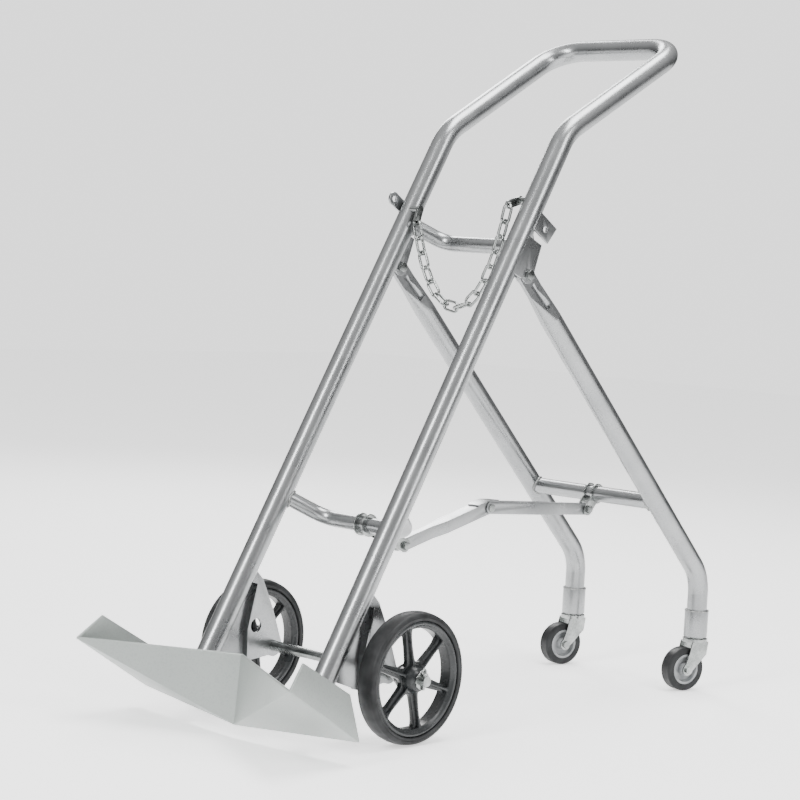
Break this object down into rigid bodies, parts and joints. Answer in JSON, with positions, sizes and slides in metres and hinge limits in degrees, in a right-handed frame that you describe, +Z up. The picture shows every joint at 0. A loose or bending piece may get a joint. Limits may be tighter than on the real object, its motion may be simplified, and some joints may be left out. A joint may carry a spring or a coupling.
{
  "type": "hand_truck",
  "caption": "Steel gas-cylinder hand truck with leaning rails, bent handle, folded toe plate, retaining chain, large spoked wheels and folding rear legs on swivel castors",
  "frame": {"origin": "on the ground, below the middle of the outline in width and depth", "axes": "+X to the truck's right-hand side along the axle when seen from the front, +Y from the toe plate back to the castors, +Z up"},
  "size_m": [0.4698, 1.0854, 1.1095],
  "materials": {
    "zinc_tube": "satin silver zinc on welded tube",
    "zinc_fittings": "bright zinc-plated fittings and fasteners",
    "grey_sheet": "matt light grey-green painted sheet",
    "black_plastic": "moulded black plastic wheel",
    "black_rubber": "black solid rubber tyre",
    "grey_rim": "grey moulded castor wheel centre"
  },
  "bodies": {
    "frame": {"rail_l": "zinc_tube", "rail_r": "zinc_tube", "handle_bow": "zinc_tube", "upper_bow": "zinc_tube", "lower_bow": "zinc_tube", "axle": "zinc_fittings", "axle_bracket_l": "zinc_tube", "axle_bracket_r": "zinc_tube", "axle_washers": "zinc_fittings", "axle_pins": "zinc_fittings", "toe_plate": "grey_sheet", "lug_l": "zinc_tube", "lug_r": "zinc_tube", "chain_tab_l": "zinc_fittings", "chain_tab_r": "zinc_fittings", "leg_bracket_l": "zinc_tube", "leg_bracket_r": "zinc_tube", "leg_bolts": "zinc_fittings", "brace_bracket": "zinc_fittings", "brace_front_bolt": "zinc_fittings"},
    "legs": {"leg_l": "zinc_tube", "leg_r": "zinc_tube", "cross_tube": "zinc_tube", "cross_eye": "zinc_fittings", "brace_rear_bolt": "zinc_fittings", "castor_socket_l": "zinc_tube", "castor_socket_r": "zinc_tube"},
    "rear_arm": {"brace_rear_arm": "zinc_tube", "knee_rivet": "zinc_fittings"},
    "front_arm": {"brace_front_arm": "zinc_tube"},
    "chain": {"chain": "zinc_fittings"},
    "wheel_l": {"wheel_rim_l": "black_plastic", "wheel_tyre_l": "black_rubber"},
    "castor_l": {"castor_fork_l": "zinc_fittings", "castor_axle_l": "zinc_fittings"},
    "castor_wheel_l": {"castor_rim_l": "grey_rim", "castor_tyre_l": "black_rubber"},
    "wheel_r": {"wheel_rim_r": "black_plastic", "wheel_tyre_r": "black_rubber"},
    "castor_r": {"castor_fork_r": "zinc_fittings", "castor_axle_r": "zinc_fittings"},
    "castor_wheel_r": {"castor_rim_r": "grey_rim", "castor_tyre_r": "black_rubber"}
  },
  "joints": [
    {"name": "wheel_l_spin", "type": "hinge", "parent": "frame", "child": "wheel_l", "pos_m": [-0.173, -0.23578, 0.1], "axis": [1, 0, 0], "continuous": true},
    {"name": "wheel_r_spin", "type": "hinge", "parent": "frame", "child": "wheel_r", "pos_m": [0.173, -0.23578, 0.1], "axis": [1, 0, 0], "continuous": true},
    {"name": "legs_fold", "type": "hinge", "parent": "frame", "child": "legs", "pos_m": [0, 0.01022, 0.70421], "axis": [-1, 0, 0], "range_deg": [0, 30]},
    {"name": "rear_arm_turn", "type": "hinge", "parent": "legs", "child": "rear_arm", "pos_m": [0, 0.36369, 0.306], "axis": [-1, 0, 0], "range_deg": [0, 37.7]},
    {"name": "knee_turn", "type": "hinge", "parent": "rear_arm", "child": "front_arm", "pos_m": [0, 0.10422, 0.32], "axis": [1, 0, 0], "range_deg": [0, 105.49]},
    {"name": "castor_l_swivel", "type": "hinge", "parent": "legs", "child": "castor_l", "pos_m": [-0.137, 0.52121, 0.1], "axis": [0, 0, 1], "continuous": true},
    {"name": "castor_wheel_l_spin", "type": "hinge", "parent": "castor_l", "child": "castor_wheel_l", "pos_m": [-0.14361, 0.49815, 0.0375], "axis": [0.9613, -0.2756, 0], "continuous": true},
    {"name": "castor_r_swivel", "type": "hinge", "parent": "legs", "child": "castor_r", "pos_m": [0.137, 0.52121, 0.1], "axis": [0, 0, 1], "continuous": true},
    {"name": "castor_wheel_r_spin", "type": "hinge", "parent": "castor_r", "child": "castor_wheel_r", "pos_m": [0.13039, 0.49815, 0.0375], "axis": [0.9613, -0.2756, 0], "continuous": true},
    {"name": "chain_swing", "type": "hinge", "parent": "frame", "child": "chain", "pos_m": [-0.098, 0.00722, 0.779], "axis": [0.9861, 0, 0.166], "range_deg": [-40, 20]}
  ],
  "couplings": [
    {"joint": "rear_arm_turn", "follows": "legs_fold", "ratio": 1.2562},
    {"joint": "knee_turn", "follows": "legs_fold", "ratio": 3.5158}
  ]
}
